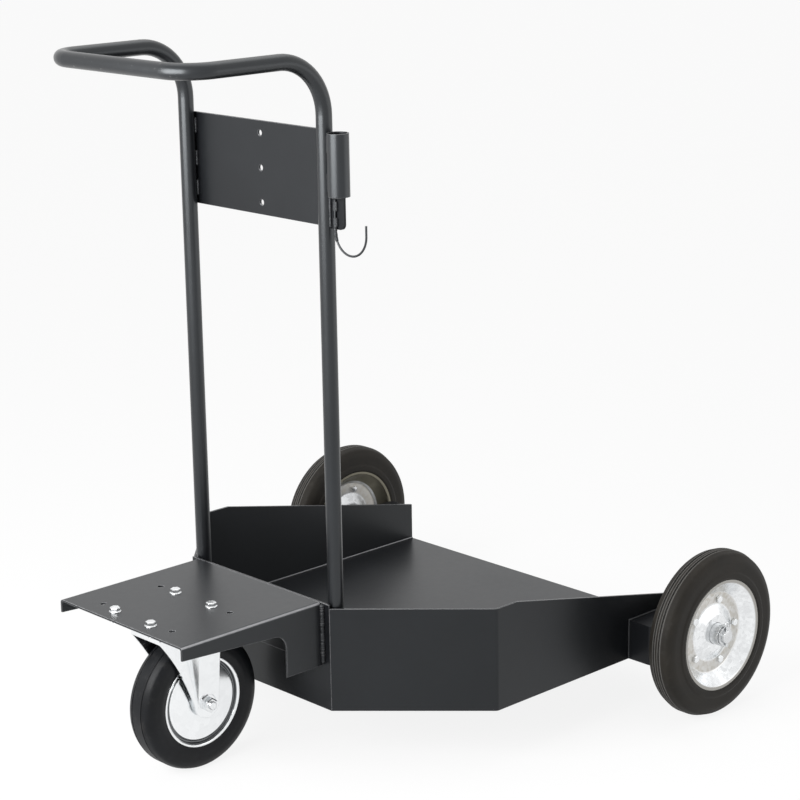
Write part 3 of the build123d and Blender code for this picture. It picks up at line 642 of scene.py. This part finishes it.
for side in (1, -1):
    x, y, gap = weldSettings["deckSeam"]
    heavyLines.append(standing(deckHigh.x + x, side * (deckHigh.y + y),
                               deckLow.z + gap, deckHigh.z - gap))
    x, y, half = weldSettings["stitch"]
    for level in weldSettings["stitchLevels"]:
        middle = panelMiddle.z + level
        fineLines.append(standing(uprightX + x, side * (uprightY + y),
                                  middle - half, middle + half))
    radius, lift = weldSettings["foot"]
    foot = (uprightX, side * uprightY, floorHigh.z + lift)
    fineLines.append(ringLine(foot, radius, (0, 0, 1)))
    wall, plate, gap = weldSettings["bracket"]
    y = side * (bracketLow.y + wall)
    front, rear = bracketLow.x - plate, bracketHigh.x + plate
    low, high = bracketLow.z + gap, bracketHigh.z + plate
    thinLines.append([(front, y, low), (front, y, high), (rear, y, high), (rear, y, low)])
    radius, lift = weldSettings["axle"]
    hole = (axleMiddle.x, side * (bracketHigh.y + lift), axleMiddle.z)
    fineLines.append(ringLine(hole, radius, (0, 1, 0)))

for side in (-1, 1):
    aside, lift = weldSettings["groove"]
    for low, high in weldSettings["grooveRuns"]:
        fineLines.append(standing(uprightX + side * aside, holderHigh.y + lift,
                                  holderLow.z + low, holderLow.z + high))
    aside, lift, gap, innerGap = weldSettings["gusset"]
    x = uprightX + side * aside
    fineLines.append(standing(x, plateHigh.y + lift, plateLow.z + gap, plateHigh.z))
    fineLines.append([(x, plateLow.y + innerGap, plateHigh.z),
                      (x, plateHigh.y - gap, plateHigh.z)])

aside, lift, wire = weldSettings["hook"]
wireY = hookHigh.y - wire
for side in (-1, 1):
    for low, high in weldSettings["hookRuns"]:
        fineLines.append(standing(hookHigh.x - lift, wireY + side * aside,
                                  plateLow.z + low, plateLow.z + high))
fineLines.append([(hookHigh.x - wire, wireY - off, plateLow.z - drop)
                  for off, drop in weldSettings["hookBend"]])

beadTree = makeBeadTree()
for name, kind, lines in (("weldBeads", "fine", fineLines), ("deckWelds", "heavy", heavyLines),
                          ("bracketWelds", "thin", thinLines)):
    grow(name, beadTree, *joinLines(lines), weldSettings[kind], "frame", "frame_paint")
print("weld beads run")

seamSettings = {
    "Radius": 0.0024,
    "faces": 12,
    "shoulder": -0.0408,  # X where the side walls bend
    "nose": 0.1496,  # half the front wall's width
    "rearGap": 0.001,
    "lift": 0.0002,
}


def makeSeamTree():
    # smooth round seam along a line
    tree, inputs = startTree("floorSeam", {"Radius": seamSettings["Radius"]})
    line = inputs["Geometry"].add("GeometryNodeMeshToCurve", None, {"Mesh": inputs["Geometry"]})
    outline = line.add("GeometryNodeCurvePrimitiveCircle", None, {
        "Resolution": seamSettings["faces"], "Radius": inputs["Radius"]})
    seam = line.add("GeometryNodeCurveToMesh", None, {
        "Curve": line, "Profile Curve": outline, "Fill Caps": True})
    closeTree(seam, coatMaterial, soft=True)
    return tree


seamZ = floorHigh.z + seamSettings["lift"]
halfSeam = [(floorHigh.x - seamSettings["rearGap"], floorHigh.y, seamZ),
            (seamSettings["shoulder"], floorHigh.y, seamZ),
            (floorLow.x, seamSettings["nose"], seamZ)]
farSeam = [(x, -y, z) for x, y, z in reversed(halfSeam)]
grow("floorSeam", makeSeamTree(), *joinLines([halfSeam + farSeam]), seamSettings, "frame",
     "frame_paint")
print("floor seam run")

fastenerSettings = {
    "deckHeads": {"Flats": 0.013, "Height": 0.0053, "Chamfer": 0.0011,
                  "Disc": 0.017, "Disc height": 0.0016},
    "deckNuts": {"Flats": 0.013, "Height": 0.0065, "Chamfer": 0.0011,
                 "Tip": 0.008, "Tip height": 0.002},
    "rimHeads": {"Flats": 0.010, "Height": 0.0040, "Chamfer": 0.0009,
                 "Disc": 0.0094, "Disc height": 0.0004},
    "rimNuts": {"Flats": 0.010, "Height": 0.0050, "Chamfer": 0.0009,
                "Tip": 0.006, "Tip height": 0.002},
    "axleHead": {"Flats": 0.019, "Height": 0.0075, "Chamfer": 0.0015,
                 "Disc": 0.0175, "Disc height": 0.0005},
    "axleNut": {"Flats": 0.019, "Height": 0.010, "Chamfer": 0.0015,
                "Tip": 0.012, "Tip height": 0.003},
    "chamferSlope": 1.1,  # how far a chamfer goes in for its height
    "discSides": 28,
    "discEdge": 0.7,  # share of a disc's height below its sloped edge
    "discSlope": 0.25,  # how far that edge goes in for the disc's height
    "tipSides": 16,
    "threads": 3,
    "root": (0.88, 0.86),  # narrow ends of a thread against its crest
    "spin": 0.5,  # each head is turned by up to this, in radians
    "seed": 3,
    "rimCircle": (0.05, 5, 75.0),  # radius, bolts, degrees to the first
}


def makeFastenerTree(name, sizes):
    # hexagon with a chamfered top on each point, on a disc or with a threaded tip
    tree, inputs = startTree(name, {**sizes, "Turn": (0.0, 0.0, 0.0)})
    points = inputs["Geometry"]
    parts = []

    def lifted(shape, z):
        lift = points.add("ShaderNodeCombineXYZ", None, {2: z})
        parts.append(points.add("GeometryNodeTransform", None, {
            "Geometry": shape, "Translation": lift}))

    def drum(count, width, depth, z):
        shape = points.add("GeometryNodeMeshCylinder", None, {
            "Vertices": count, "Radius": width, "Depth": depth})
        lifted(shape, z + depth * 0.5)

    def taper(count, wide, narrow, depth, z):
        shape = points.add("GeometryNodeMeshCone", None, {
            "Vertices": count, "Radius Top": narrow, "Radius Bottom": wide, "Depth": depth})
        lifted(shape, z)

    foot = 0.0
    if "Disc" in sizes:
        disc, foot = inputs["Disc"] / 2, inputs["Disc height"]
        sides, edge = fastenerSettings["discSides"], fastenerSettings["discEdge"]
        drum(sides, disc, foot * edge, 0.0)
        top = disc - foot * fastenerSettings["discSlope"]
        taper(sides, disc, top, foot * (1 - edge), foot * edge)
    radius = inputs["Flats"] / math.sqrt(3)  # from the middle to a corner
    chamfer = inputs["Chamfer"]
    side = inputs["Height"] - chamfer
    top = radius - chamfer * fastenerSettings["chamferSlope"]
    drum(6, radius, side, foot)
    taper(6, radius, top, chamfer, side + foot)
    if "Tip" in sizes:
        stem, sides = inputs["Tip"] / 2, fastenerSettings["tipSides"]
        pitch = inputs["Tip height"] / fastenerSettings["threads"]
        lower, upper = fastenerSettings["root"]
        for step in range(fastenerSettings["threads"]):
            low = inputs["Height"] + pitch * step
            taper(sides, stem * lower, stem, pitch * 0.5, low)
            taper(sides, stem, stem * upper, pitch * 0.5, low + pitch * 0.5)
    joined = tree.nodes.new("GeometryNodeJoinGeometry")
    for part in parts:
        tree.links.new(part.socket, joined.inputs[0])
    spin = points.add("FunctionNodeRandomValue", {"data_type": "FLOAT"}, {
        2: -fastenerSettings["spin"], 3: fastenerSettings["spin"],
        8: fastenerSettings["seed"]}, 1)
    spun = points.add("FunctionNodeEulerToRotation", None, {
        0: points.add("ShaderNodeCombineXYZ", None, {2: spin})})
    aim = points.add("FunctionNodeEulerToRotation", None, {0: inputs["Turn"]})
    turned = points.add("FunctionNodeRotateRotation", {"rotation_space": "LOCAL"}, {
        0: aim, 1: spun})
    row = points.add("GeometryNodeInstanceOnPoints", None, {
        "Points": points, "Instance": Wire(tree, joined.outputs[0]), "Rotation": turned})
    closeTree(row, boltZinc)
    return tree


def fasten(name, kind, places, turn, body, *replaced):
    sizes = fastenerSettings[kind]
    tree = makeFastenerTree(kind, sizes)
    grow(name, tree, places, [], {**sizes, "Turn": turn}, body, "fastener_zinc", *replaced)


upTurn, downTurn = (0.0, 0.0, 0.0), (math.pi, 0.0, 0.0)
leftTurn, rightTurn = (-math.pi / 2, 0.0, 0.0), (math.pi / 2, 0.0, 0.0)
washerLow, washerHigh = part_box("mount_washers")
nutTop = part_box("mount_nuts")[1].z
inset = fastenerSettings["deckHeads"]["Disc"] / 2
corners = [(x, y) for x in (washerLow.x + inset, washerHigh.x - inset)
           for y in (washerLow.y + inset, washerHigh.y - inset)]
fasten("deckBolts", "deckHeads", [(x, y, washerLow.z) for x, y in corners], upTurn, "frame",
       "mount_bolts", "mount_washers")
fasten("deckNuts", "deckNuts", [(x, y, nutTop) for x, y in corners], downTurn, "frame",
       "mount_nuts")

circle, count, first = fastenerSettings["rimCircle"]
angles = [math.radians(first + 360 / count * step) for step in range(count)]
for name, way, outward, inward in (("left", 1, leftTurn, rightTurn),
                                   ("right", -1, rightTurn, leftTurn)):
    body, bolts, nuts = name + "_wheel", name + "_rim_bolts", name + "_rim_nuts"
    middle = middleOf(name + "_outer_rim")
    ring = [(middle.x + circle * math.cos(angle), middle.z + circle * math.sin(angle))
            for angle in angles]
    outer = 1 if way > 0 else 0  # which corner of a box lies outward
    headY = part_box(bolts)[outer].y - way * fastenerSettings["rimHeads"]["Height"]
    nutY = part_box(nuts)[outer].y
    fasten(name + "RimBolts", "rimHeads", [(x, headY, z) for x, z in ring], outward, body, bolts)
    fasten(name + "RimNuts", "rimNuts", [(x, nutY, z) for x, z in ring], inward, body, nuts)

middle = middleOf("caster_axle_nut")
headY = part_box("caster_axle_bolt")[1].y - fastenerSettings["axleHead"]["Height"]
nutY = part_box("caster_axle_nut")[1].y
fasten("casterAxleHead", "axleHead", [(middle.x, headY, middle.z)], leftTurn, "caster_swivel",
       "caster_axle_bolt")
fasten("casterAxleNut", "axleNut", [(middle.x, nutY, middle.z)], rightTurn, "caster_swivel",
       "caster_axle_nut")
print("bolts and nuts placed")
